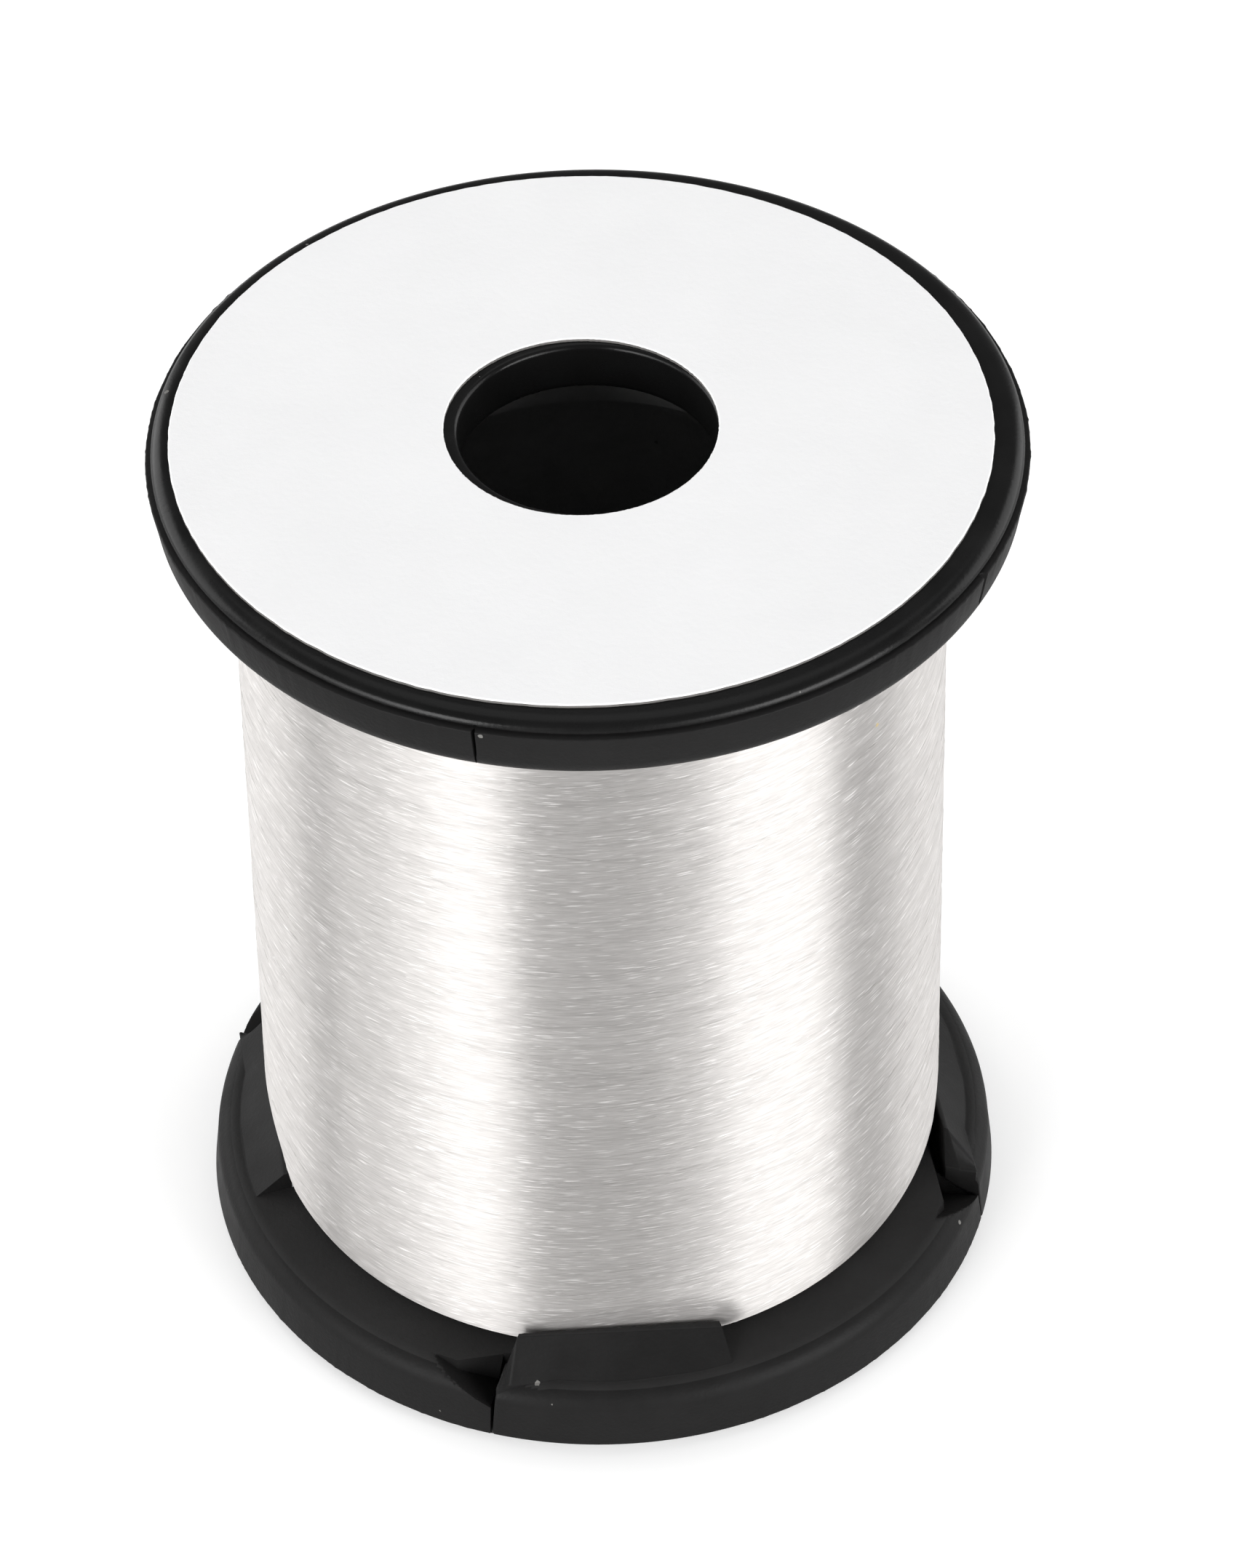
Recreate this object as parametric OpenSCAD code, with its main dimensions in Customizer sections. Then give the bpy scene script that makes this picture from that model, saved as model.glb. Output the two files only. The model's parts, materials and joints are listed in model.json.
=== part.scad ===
// Fly-tying thread spool: a hollow drum between two moulded end flanges, wound full
// of fine thread. The lower flange carries four spring catches that grip the thread's
// end, and a round paper label closes the face of each flange around the bore.
// +Z runs up the drum's axis. The origin is the centre of the lower flange's outer face.

/* [Spool] */
// Outside diameter of both flanges
flange_d = 22.5; // [20:0.5:30]
// Height from the lower flange's outer face to the upper flange's outer face
spool_h = 27.25; // [20:0.25:40]
// Diameter of the spindle bore in each flange
bore_d = 6.6; // [5:0.1:8]

/* [Drum] */
// Outside diameter of the drum that the thread is wound on
drum_d = 17.2; // [15.5:0.1:17.4]
// Wall of the drum
drum_wall = 1.2; // [0.8:0.1:1.6]

/* [Flanges] */
// Thickness of the lower flange from its outer to its inner face
flange_t = 2.1; // [1.7:0.1:2.6]
// Thickness of the upper flange, which carries no catches
top_flange_t = 1.85; // [1.6:0.05:2.6]
// Radius on the edge of the outer face
face_round = 0.3; // [0.2:0.05:0.6]
// How far the rounded edge sits inside the side wall
face_step = 0.1; // [0.05:0.05:0.15]
// Draft of the side wall, measured on the radius
wall_draft = 0.13; // [0.05:0.01:0.2]
// Radius between the side wall and the inner face
shoulder_round = 0.65; // [0.4:0.05:0.75]
// Thickness of the plate around the bore
plate_t = 1.5; // [1.2:0.1:1.6]
// Rounding of the bore's inner lip
lip_round = 0.35; // [0.2:0.05:0.5]
// Edge break at the bore's outer end
bore_break = 0.15; // [0.1:0.05:0.25]
// Length of the spigot that centres the drum on each flange
spigot_l = 2.5; // [1.5:0.1:4]
// Wall of the spigot
spigot_wall = 1; // [0.8:0.1:1.2]

/* [Thread catches] */
// Direction of the first catch, from the front (-Y) towards +X
catch_at = 8; // [0:1:30]
// Distance from the spool's axis to the catches' inner wall
catch_off = 9.2; // [9.1:0.05:9.3]
// Width of the slot that grips the thread
slot_w = 0.3; // [0.2:0.05:0.35]
// Angle from a catch's middle to its free tip
tip_angle = 24; // [22:1:28]
// Gap between a catch's tip and the flange
tip_gap = 0.4; // [0.3:0.05:0.6]
// Length of the ramp that leads the thread down to the tip's gap
ramp_l = 1.9; // [1:0.1:2.5]
// Height of the flange at the foot of the ramp
ramp_foot_h = 1; // [0.8:0.1:1.5]
// Angle from a catch's middle to its root
root_angle = 11; // [8:1:15]
// Width of the rib along a catch's inner wall, at its foot
rib_w = 0.85; // [0.5:0.05:0.95]
// Width of the rib's crest, from which it slopes down outwards
rib_crest_w = 0.12; // [0.1:0.02:0.3]
// Height of the rib above the inner face at the root
rib_root_h = 0.6; // [0.3:0.1:0.8]
// Height of the rib above the inner face at the tip
rib_tip_h = 1.2; // [0.9:0.1:1.4]
// How far the rib's end slopes back from the tip
rib_end_slope = 0.35; // [0.1:0.05:0.6]
// Gap under a catch, so that it swings clear of what the spool stands on
catch_lift = 0.1; // [0.05:0.05:0.2]

/* [Thread nicks] */
// Directions of the nicks in the upper flange's side wall, from the front towards +X
nick_at = [-15, 60];
// Width of each nick at its open end
nick_w = [0.12, 0.22]; // [0.1:0.02:0.4]
// Depth of a nick into the side wall
nick_depth = 0.35; // [0.2:0.05:0.45]

/* [Winding] */
// Diameter of the wound thread near the lower flange
wound_low_d = 19.2; // [18.6:0.1:19.4]
// Diameter of the wound thread near the upper flange
wound_top_d = 18.5; // [18.2:0.1:19.2]
// Diameter of the winding's first turns against a flange
wound_edge_d = 17.8; // [17.7:0.1:18]
// Height over which the winding rounds in to the lower flange
wound_low_round = 2; // [1.5:0.1:2.5]
// Height over which the winding rounds in to the upper flange
wound_top_round = 1.2; // [0.8:0.1:2]

/* [Labels] */
// Diameter of the upper label
top_label_d = 21; // [19:0.1:21.2]
// Diameter of the lower label, inside the catches' slots
low_label_d = 16.8; // [15:0.1:17.2]
// Hole in both labels
label_hole_d = 7; // [6.9:0.05:7.4]
// Thickness of the label paper
label_t = 0.1; // [0.08:0.01:0.15]
// How far the upper label is stuck on off centre, towards -X
label_shift = 0.16; // [0:0.01:0.18]

/* [Hidden] */

$fn = 96;
ARC_STEPS = 6;      // straight pieces in a quarter round
FIT = 0.02;         // clearance of the pressed spigot and the wound thread on the drum
CATCH_COUNT = 4;
LEAD = 0.3;         // chamfer that leads the spigot into the drum
GROOVE = 0.07;      // depth of the fine groove below the rounded edge
RIB_CLEARANCE = 0.2; // from the catches' ribs to the winding
ROOT_LINE = 0.01;   // hairline between a catch's root and the flange it bends from
OVER = 1;           // how far a cutting shape runs past what it cuts

rim_r = flange_d / 2;
bore_r = bore_d / 2;
drum_r = drum_d / 2;
drum_in_r = drum_r - drum_wall;
drum_l = spool_h - flange_t - top_flange_t;
spigot_r = drum_in_r - FIT;
edge_r = rim_r - face_step;
shoulder_r = rim_r - wall_draft;
wall_from = face_round + GROOVE;
slot_off = catch_off - slot_w;
gap_foot_x = -slot_off * tan(tip_angle) - tip_gap / cos(tip_angle);
label_seat = label_t + 0.05;

// Points of a quarter round about c, from angle a0 to angle a1
function round_points(c, r, a0, a1) =
    [for (i = [0 : ARC_STEPS]) let (a = a0 + (a1 - a0) * i / ARC_STEPS)
        c + r * [cos(a), sin(a)]];

// Half section of a rim of thickness t: x is the radius, y the depth from the outer face
function rim_points(t, inner_r, from) = concat(
    [[inner_r, from], [edge_r - face_round, from]],
    [for (p = round_points([edge_r - face_round, face_round], face_round, -90, 0))
        if (p.y > from) p],
    [[edge_r - GROOVE, face_round + GROOVE / 2], [rim_r, wall_from]],
    round_points([shoulder_r - shoulder_round, t - shoulder_round], shoulder_round, 0, 90),
    [[inner_r, t]]);

// Half section of a flange's plate, bore and spigot, for a rim of thickness t
function hub_points(t) = concat(
    [[spigot_r - spigot_wall, 0], [spigot_r, 0],
     [spigot_r, t + spigot_l - LEAD],
     [spigot_r - LEAD, t + spigot_l],
     [spigot_r - spigot_wall, t + spigot_l],
     [spigot_r - spigot_wall, plate_t]],
    round_points([bore_r + lip_round, plate_t - lip_round], lip_round, 90, 180),
    [[bore_r, bore_break], [bore_r + bore_break, 0]]);

// Both sections joined, with the flange lying on its outer face
module flange_blank(t) {
    rotate_extrude()
        union() {
            polygon(hub_points(t));
            polygon(rim_points(t, spigot_r - spigot_wall / 2, 0));
        }
}

// A point in the direction of angle a from the front, at radius r
function spot(r, a) = [r * sin(a), -r * cos(a)];

// Where the ray of angle a meets the chord at distance off in front of the axis
function on_chord(off, a) = [off * tan(a), -off];

// Plan of a catch, between its tip, its inner wall and its root
module catch_plan() {
    far = rim_r + OVER;
    line = [-cos(root_angle), -sin(root_angle)] * ROOT_LINE;
    polygon([[catch_off * tan(root_angle) - ROOT_LINE / cos(root_angle), -catch_off],
             spot(far, root_angle) + line, [0, -far * 1.1],
             spot(far, -tip_angle), on_chord(catch_off, -tip_angle)]);
}

// Plan of what is cut from the lower flange: room for the catch, the slot behind it
// and the gap at its tip
module catch_opening_plan() {
    far = rim_r + OVER;
    gap_side = [-cos(tip_angle), sin(tip_angle)] * tip_gap;
    polygon([on_chord(slot_off, root_angle), spot(far, root_angle), [0, -far * 1.1],
             spot(far, -tip_angle) + gap_side, [gap_foot_x, -slot_off]]);
}

// What is cut from the flange's inner face to lead the thread down to a catch's tip
module lead_in_ramp() {
    translate([0, -slot_off, 0])
        rotate([90, 0, 0])
            linear_extrude(rim_r)
                polygon([[gap_foot_x - ramp_l, flange_t], [gap_foot_x, ramp_foot_h],
                         [gap_foot_x + OVER, ramp_foot_h],
                         [gap_foot_x + OVER, flange_t + OVER],
                         [gap_foot_x - ramp_l, flange_t + OVER]]);
}

// Places its children once for each catch
module at_catch(i) {
    rotate([0, 0, catch_at + i * 360 / CATCH_COUNT]) children();
}

// The rib along a catch's inner wall, rising from root to tip and sloping down outwards
module catch_rib() {
    root_x = catch_off * tan(root_angle);
    end_x = -catch_off * tan(tip_angle);
    far_x = -(catch_off + rib_w) * tan(tip_angle);
    slope = (rib_tip_h - rib_root_h) / (root_x - end_x);
    intersection() {
        translate([0, -catch_off, 0])
            rotate([90, 0, 0])
                linear_extrude(rib_w)
                    polygon([[far_x, flange_t / 2], [root_x + OVER, flange_t / 2],
                             [root_x + OVER, flange_t + rib_root_h - slope * OVER],
                             [end_x + rib_end_slope, flange_t + rib_tip_h],
                             [end_x, flange_t], [far_x, flange_t]]);
        translate([root_x + 2 * OVER, -catch_off, 0])
            rotate([90, 0, -90])
                linear_extrude(root_x - far_x + 3 * OVER)
                    polygon([[0, flange_t / 3], [rib_w, flange_t / 3], [rib_w, flange_t],
                             [rib_crest_w, flange_t + rib_tip_h],
                             [0, flange_t + rib_tip_h]]);
        linear_extrude(flange_t + rib_tip_h + OVER) catch_plan();
    }
}

module catch_body() {
    intersection() {
        rotate_extrude() polygon(rim_points(flange_t, drum_r, catch_lift));
        linear_extrude(flange_t + OVER) catch_plan();
    }
    catch_rib();
}

module thread_catch(i) {
    color([0.13, 0.13, 0.13]) at_catch(i) catch_body();
}

module lower_flange() {
    color([0.12, 0.12, 0.12])
        difference() {
            flange_blank(flange_t);
            for (i = [0 : CATCH_COUNT - 1])
                at_catch(i) {
                    translate([0, 0, -OVER])
                        linear_extrude(flange_t + 2 * OVER) catch_opening_plan();
                    lead_in_ramp();
                }
            translate([0, 0, -OVER])
                cylinder(d = low_label_d + 0.2, h = OVER + label_seat);
        }
}

// A V-shaped cut in the side wall, open at the rounded edge
module nick(a, w) {
    rotate([0, 0, a])
        translate([0, -(rim_r - nick_depth), 0])
            rotate([90, 0, 0])
                linear_extrude(nick_depth + OVER)
                    polygon([[-w / 2, face_round], [w / 2, face_round],
                             [w / 8, top_flange_t], [-w / 8, top_flange_t]]);
}

module upper_flange() {
    color([0.12, 0.12, 0.12])
        translate([0, 0, spool_h])
            mirror([0, 0, 1])
                difference() {
                    flange_blank(top_flange_t);
                    for (i = [0 : len(nick_at) - 1]) nick(nick_at[i], nick_w[i]);
                }
}

module drum() {
    color([0.1, 0.1, 0.1])
        translate([0, 0, flange_t])
            difference() {
                cylinder(r = drum_r, h = drum_l);
                translate([0, 0, -OVER]) cylinder(r = drum_in_r, h = drum_l + 2 * OVER);
            }
}

// Half section of the winding: full between the flanges and rounded in at both ends
function wound_points() =
    let (low = flange_t + FIT, top = spool_h - top_flange_t - FIT,
         edge = wound_edge_d / 2, low_r = wound_low_d / 2, top_r = wound_top_d / 2)
    concat(
        [[drum_r + FIT, low]],
        [for (i = [0 : ARC_STEPS]) let (a = 90 * i / ARC_STEPS)
            [edge + (low_r - edge) * sin(a), low + wound_low_round * (1 - cos(a))]],
        [for (i = [ARC_STEPS : -1 : 0]) let (a = 90 * i / ARC_STEPS)
            [edge + (top_r - edge) * sin(a), top - wound_top_round * (1 - cos(a))]],
        [[drum_r + FIT, top]]);

module thread_winding() {
    flat = catch_off - RIB_CLEARANCE;
    flat_h = flange_t + rib_tip_h + RIB_CLEARANCE;
    color([0.86, 0.85, 0.84])
        difference() {
            rotate_extrude() polygon(wound_points());
            for (i = [0 : CATCH_COUNT - 1])
                at_catch(i)
                    translate([-rim_r, -flat - rim_r, 0])
                        cube([2 * rim_r, rim_r, flat_h]);
        }
}

// A paper disc with a hole, lying on z = 0
module label(d) {
    difference() {
        cylinder(d = d, h = label_t);
        translate([0, 0, -OVER]) cylinder(d = label_hole_d, h = label_t + 2 * OVER);
    }
}

module upper_label() {
    color([0.94, 0.94, 0.95]) translate([-label_shift, 0, spool_h]) label(top_label_d);
}

module lower_label() {
    color([0.94, 0.94, 0.95]) translate([0, 0, label_seat - label_t]) label(low_label_d);
}

drum();
lower_flange();
upper_flange();
thread_winding();
thread_catch(0);  // thread_catch_1
thread_catch(1);  // thread_catch_2
thread_catch(2);  // thread_catch_3
thread_catch(3);  // thread_catch_4
upper_label();
lower_label();
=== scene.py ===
"""Visual model of a small fly-tying thread spool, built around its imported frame.

Lengths in the section lists are millimetres. Angles run from the front (-Y) towards +X.
"""
import json
import math
import random

import bmesh
import bpy
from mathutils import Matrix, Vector, noise


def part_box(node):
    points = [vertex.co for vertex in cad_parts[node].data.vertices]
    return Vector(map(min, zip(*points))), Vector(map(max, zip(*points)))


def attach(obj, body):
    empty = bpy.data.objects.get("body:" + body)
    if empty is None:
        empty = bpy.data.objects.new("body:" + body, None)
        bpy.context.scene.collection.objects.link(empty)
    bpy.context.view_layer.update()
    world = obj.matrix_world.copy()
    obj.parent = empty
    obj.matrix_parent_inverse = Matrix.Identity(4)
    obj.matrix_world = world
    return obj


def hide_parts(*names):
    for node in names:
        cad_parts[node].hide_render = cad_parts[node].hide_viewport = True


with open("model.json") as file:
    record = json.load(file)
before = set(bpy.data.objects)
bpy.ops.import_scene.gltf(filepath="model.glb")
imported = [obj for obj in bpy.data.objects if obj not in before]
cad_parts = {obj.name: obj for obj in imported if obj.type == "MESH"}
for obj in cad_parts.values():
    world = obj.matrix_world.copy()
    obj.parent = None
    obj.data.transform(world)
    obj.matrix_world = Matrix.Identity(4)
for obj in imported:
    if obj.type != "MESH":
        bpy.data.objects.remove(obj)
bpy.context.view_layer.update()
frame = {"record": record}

MM = 0.001
BODY = "spool"

# Sizes read from the frame
record = frame["record"]
catch_joints = record["behaviour"]["joints"]
hinges = [Vector(joint["pos_m"]) / MM for joint in catch_joints]
rim_r = hinges[0].xy.length
bore_r = record["mounts"][0]["dims"]["r_mm"]
spool_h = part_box("upper_label")[0][2] / MM
flange_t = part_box("drum")[0][2] / MM
top_flange_t = spool_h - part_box("drum")[1][2] / MM
drum_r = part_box("drum")[1][0] / MM

# Flange section
FACE_EDGE_R = rim_r - 0.56       # where the outer face starts to round over
FACE_ROUND = (0.42, 0.27)        # reach of that rounding, outwards and in depth
STEP_R = rim_r - 0.21            # floor of the fine step below the rounding
STEP_U = (0.29, 0.34)            # depth of the step's floor
WALL_TOP_U = 0.39                # depth at which the side wall stands furthest out
WALL_DRAFT = 0.13                # how far the wall leans in up to the shoulder
SHOULDER = 0.65                  # rounding between side wall and inner face
SHOULDER_R = rim_r - WALL_DRAFT - SHOULDER       # where the inner face starts to round over
SHOULDER_STEPS = 12
RIM_ROOM = 0.03                  # a rib or ramp ends this far inside the shoulder
PLATE_T = 1.5                    # thickness of the plate round the bore
SPIGOT_R = 7.38
SPIGOT_WALL = 1.0
SPIGOT_L = 2.5
SPIGOT_BEVEL = 0.3
CORNER = 0.2                     # rounding between the plate and the spigot's inside
LIP = 0.35                       # rounding of the bore's inner lip
BREAK = 0.15                     # rounding of the bore's outer edge
FLANGE_COLUMNS = 720             # sections round a flange
LABEL_SEAT_R = 8.5
LABEL_SEAT = 0.15                # depth of the label's recess

# Nicks in the upper flange's side wall: direction and width at the top
NICKS = [(math.radians(-15), 0.1), (math.radians(60), 0.2)]
NICK_DEPTH = 0.17

# Finishes of a flange or a catch, by their places in the list of its materials; 0 is satin. The
# matt finish is also painted lighter, as painted light on flat inner faces, and the inside finish
# is a light grey that paints light into the hollow seen through the bore
GLOSS, MATT_PAINTED_LIGHT, INSIDE_PAINTED_LIGHT = 1, 2, 3
POLISHED_R = bore_r + 0.4        # the bore and its lips, which are polished, end here
HIDDEN_U = PLATE_T - 0.2         # depth from which the spigot's inside is hidden, and painted light grey as painted light
FLAT_FACE = 0.9                  # how upright a face's normal is where the face counts as flat

# Thread catches
CATCH_OFF = 9.2                  # from the spool's axis to a catch's straight inner face
SLOT = 0.3                       # width of the slot behind a catch
TIP = math.radians(24)           # from a catch's middle to its tip
ROOT = math.radians(11)          # and to its root
RIB_FOOT = 1.2                   # greatest width of a rib's foot
RIB_LEAST = 0.85                 # and the least, where the rim leaves no more room
RIB_CREST = 0.12                 # width of its crest, where it stands highest
CREST_SPREAD = 0.3               # how much wider the crest would be on a rib of no height
RIB_ROOT_H = 0.6                 # height of a rib at its catch's root
RIB_TIP_H = 1.2                  # and at its tip
RIB_END = 0.35                   # length of the slope at the rib's end
TIP_DRAFT = math.radians(0.6)    # lean of a catch's tip face, which narrows the gap below
LEAN_FROM = 0.9 * TIP            # where that lean sets in
TIP_ROUNDING = [(0.02, 0.35), (0.05, 0.0)]       # how far drawn in, and how short of the end
CATCH_STEPS = 36                 # steps from a catch's root to the slope at its rib's end
END_STEPS = 8                    # and down that slope
CATCH_LIFT = 0.1                 # height of a catch's underside above the flange's outer face
TIP_GAP = math.radians(1.1)      # from a catch's tip to the flange
RAMP_L = 1.9                     # ramp that leads the thread down to that gap
RAMP_END = math.radians(-42)     # beyond it there is no ramp
RAMP_FOOT_H = 1.0                # height of its foot
RAMP_WALL_R = 9.5                # two points of the section that slide to the ramp's wall
EDGE = 0.06                      # rounding of moulded edges

# Winding
WOUND_LOW_R = 9.6                # radius near the lower flange
WOUND_TOP_R = 9.25               # and near the upper one
WOUND_EDGE_R = 8.95              # where it meets the flanges
LOW_ROUND = 1.4                  # height over which each end rounds over
TOP_ROUND = 1.2
FLANGE_ROOM = 0.02               # between the sleeve and the drum or a flange
WINDING_ROWS = 420
WINDING_COLUMNS = 288
LAY_LEAD = 7.0                   # how far a turn climbs in one round
UNEVEN = 0.003                   # unevenness of the wound surface

# Labels
LABEL_HOLE_R = 3.5
LABEL_ROOM = 0.02                # between the label's edge and its recess
LABEL_COLUMNS = 720

# Loose turns on the winding
TURN_COUNT = 420
STRAND_SIDES = 5
STRAND_STEP = 0.05               # angle between a strand's rings, in radians
STRAND_PROUD = 0.002             # how far a strand's middle stands out of the winding
STRAND_SUNK = 0.05               # how far its ends dip into it
STRAND_FLATNESS = 0.6            # its thickness over its width

# Dent that a rib leaves in the winding
DENT_OFF = CATCH_OFF - 0.12      # how far out the thread may stand behind a rib
DENT_ROOM = 0.1                  # height above the rib before it runs out
DENT_FROM = -math.radians(20)    # from here on past the tip it keeps one height
DENT_SPAN = math.radians(60)     # how far round from a catch's middle it is looked for
DENT_RISE = 0.4                  # how fast it runs out above the rib, mm a mm
DENT_REACH = 2.1                 # how far above the rib it may still be felt
DENT_END = 2.6                   # how fast it runs out past a catch's root, mm a radian
DENT_BLEND = 0.12                # rounding of its edge


# ---------------------------------------------------------------- meshes

def place(radius, angle, height):
    """A point in metres from a radius, an angle from the front and a height in mm."""
    return Vector((radius * math.sin(angle), -radius * math.cos(angle), height)) * MM


def arc(centre, reach, start, end, steps):
    """Points along an elliptical arc, its angles in degrees."""
    points = []
    for i in range(steps + 1):
        a = math.radians(start + (end - start) * i / steps)
        points.append((centre[0] + reach[0] * math.cos(a), centre[1] + reach[1] * math.sin(a)))
    return points


def grid_mesh(name, columns, wrap, caps=False):
    """A mesh from columns of points, each a closed ring of the section."""
    mesh = bpy.data.meshes.new(name)
    count = len(columns[0])
    points = [point for column in columns for point in column]
    faces = []
    last = len(columns) if wrap else len(columns) - 1
    for i in range(last):
        a = i * count
        b = ((i + 1) % len(columns)) * count
        for j in range(count):
            k = (j + 1) % count
            faces.append((a + j, a + k, b + k, b + j))
    if caps:
        faces.append(tuple(reversed(range(count))))
        faces.append(tuple(range(len(points) - count, len(points))))
    mesh.from_pydata(points, [], faces)
    tidy = bmesh.new()
    tidy.from_mesh(mesh)
    bmesh.ops.remove_doubles(tidy, verts=tidy.verts, dist=0.0002 * MM)
    bmesh.ops.dissolve_degenerate(tidy, edges=tidy.edges, dist=0.0002 * MM)
    bmesh.ops.recalc_face_normals(tidy, faces=tidy.faces)
    tidy.to_mesh(mesh)
    tidy.free()
    return mesh


def add_piece(name, mesh, body, node, materials, crease=35):
    """Puts a mesh in the scene, smooth but for its sharp edges, in place of a node."""
    for material in materials:
        mesh.materials.append(material)
    mesh.polygons.foreach_set("use_smooth", [True] * len(mesh.polygons))
    mesh.set_sharp_from_angle(angle=math.radians(crease))
    piece = bpy.data.objects.new(name, mesh)
    bpy.context.collection.objects.link(piece)
    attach(piece, body)
    if node:
        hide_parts(node)
    return piece


def round_angles(steps):
    """Evenly spaced angles for one full round."""
    return [2 * math.pi * i / steps for i in range(steps)]


def turn_from(angle, other):
    """The turn from one angle to another, between minus and plus half a round."""
    return (other - angle + math.pi) % (2 * math.pi) - math.pi


# ---------------------------------------------------------------- flanges

def rim_section(inner_r, under, thick):
    """The rim from its outer face, over the rounding, step and wall, to the inner face."""
    points = [(inner_r, under), (FACE_EDGE_R, under)]
    rounding = arc((FACE_EDGE_R, FACE_ROUND[1]), FACE_ROUND, -90, -6, 9)
    points += [point for point in rounding if point[1] > under]
    points += [(STEP_R + 0.02, STEP_U[0] - 0.01), (STEP_R, STEP_U[0]), (STEP_R, STEP_U[1])]
    points += arc((rim_r - 0.04, WALL_TOP_U), (0.04, 0.04), -90, 0, 4)
    points += arc((SHOULDER_R, thick - SHOULDER), (SHOULDER, SHOULDER), 0, 90, SHOULDER_STEPS)
    return points


def flange_section(thick, label_seat):
    """The whole closed section of a flange: radius and depth from its outer face."""
    face = LABEL_SEAT if label_seat else 0
    points = arc((bore_r + BREAK, face + BREAK), (BREAK, BREAK), 180, 270, 5)
    if label_seat:
        points += [(LABEL_SEAT_R, face), (LABEL_SEAT_R, EDGE)]
        points += arc((LABEL_SEAT_R + EDGE, EDGE), (EDGE, EDGE), 180, 270, 3)[1:]
    points += rim_section(FACE_EDGE_R - 1.2, 0, thick)
    points += [(RAMP_WALL_R + 0.01, thick), (RAMP_WALL_R - 0.01, thick)]
    foot = SPIGOT_R + EDGE
    tip_u = thick + SPIGOT_L
    hollow_r = SPIGOT_R - SPIGOT_WALL
    points += [(foot + 0.9, thick), (foot, thick), (SPIGOT_R, thick + EDGE)]
    points += [(SPIGOT_R, tip_u - SPIGOT_BEVEL), (SPIGOT_R - SPIGOT_BEVEL, tip_u)]
    points += [(hollow_r, tip_u), (hollow_r, PLATE_T + CORNER)]
    points += arc((hollow_r - CORNER, PLATE_T + CORNER), (CORNER, CORNER), 0, -90, 4)[1:]
    points += arc((bore_r + LIP, PLATE_T - LIP), (LIP, LIP), 90, 180, 8)
    return points


def ragged_step(r, u, angle, seed, reach):
    """The radius of a section's point, uneven round the rim where it is on the fine step."""
    if r <= STEP_R - 0.02 or not STEP_U[0] - 0.03 < u < WALL_TOP_U + 0.02:
        return r
    spot = Vector((math.sin(angle), math.cos(angle), seed))
    coarse = noise.noise(spot * 9)
    fine = noise.noise(spot * 70)
    return r + reach * (0.5 * coarse + max(0, fine) * 1.2)


def nick_depth(angle, u):
    """How deep the nearest nick cuts the side wall at this angle and depth."""
    depth = 0
    for at, width in NICKS:
        narrowing = 1 - 0.8 * max(0, u - STEP_U[1]) / (top_flange_t - STEP_U[1])
        half = width / 2 / rim_r * narrowing
        off = abs(turn_from(at, angle))
        if off < half:
            depth = NICK_DEPTH * (1 - off / half) ** 0.5
    return depth


def upper_flange(finishes):
    """The upper flange: a full ring with a ragged step and two nicks in its wall."""
    section = flange_section(top_flange_t, label_seat=False)
    angles = round_angles(FLANGE_COLUMNS)
    for at, width in NICKS:
        half = width / 2 / rim_r
        angles += [at % (2 * math.pi) + half * k / 4 for k in range(-5, 6)]
    columns = []
    for angle in sorted(angles):
        column = []
        for r, u in section:
            r = ragged_step(r, u, angle, seed=2.0, reach=0.03)
            if r > rim_r - 0.7 and STEP_U[0] <= u:
                r -= nick_depth(angle, u)
            column.append(place(r, angle, spool_h - u))
        columns.append(column)
    mesh = grid_mesh("upper_flange_moulding", columns, wrap=True)
    return add_piece("upper_flange_moulding", mesh, BODY, "upper_flange",
                     finishes)


def catch_middles():
    """The direction of each catch's middle, from its hinge."""
    return [math.atan2(hinge.x, -hinge.y) - ROOT for hinge in hinges]


def slot_wall(turn):
    """The radius of the slot's inner wall, at a turn from a catch's middle."""
    return (CATCH_OFF - SLOT) / math.cos(turn)


def opening_limit(angle, middles):
    """The radius at which the lower flange ends in front of a slot, or None."""
    for middle in middles:
        turn = turn_from(middle, angle)
        if -TIP - TIP_GAP - 1e-6 <= turn <= ROOT + 1e-6:
            return slot_wall(turn)
    return None


def ramp_height(r, turn):
    """The height of the lead-in ramp's surface, at a radius and a turn."""
    foot = -(CATCH_OFF - SLOT) * math.tan(TIP + TIP_GAP)
    share = (foot - r * math.sin(turn)) / RAMP_L
    return RAMP_FOOT_H + (flange_t - RAMP_FOOT_H) * share


def ramped(r, u, angle, middles):
    """Lowers the inner face of the flange to the lead-in ramp, outside the slot's wall."""
    for middle in middles:
        turn = turn_from(middle, angle)
        if RAMP_END < turn < -TIP - TIP_GAP + 1e-5:
            wall = min(slot_wall(turn), SHOULDER_R - RIM_ROOM)
            if abs(r - RAMP_WALL_R) < 0.02:
                r += wall - RAMP_WALL_R
            if r > wall:
                u = min(u, ramp_height(r, turn))
    return r, u


def cut_back(r, u, limit):
    """Pulls a section's point back to the slot's wall, with its edges rounded."""
    if r <= limit - EDGE:
        return r
    near = min(u, flange_t - u)
    gone = 0
    if 0 <= near < EDGE:
        gone = EDGE - math.sqrt(EDGE ** 2 - (EDGE - near) ** 2)
    return min(r, limit - gone)


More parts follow.
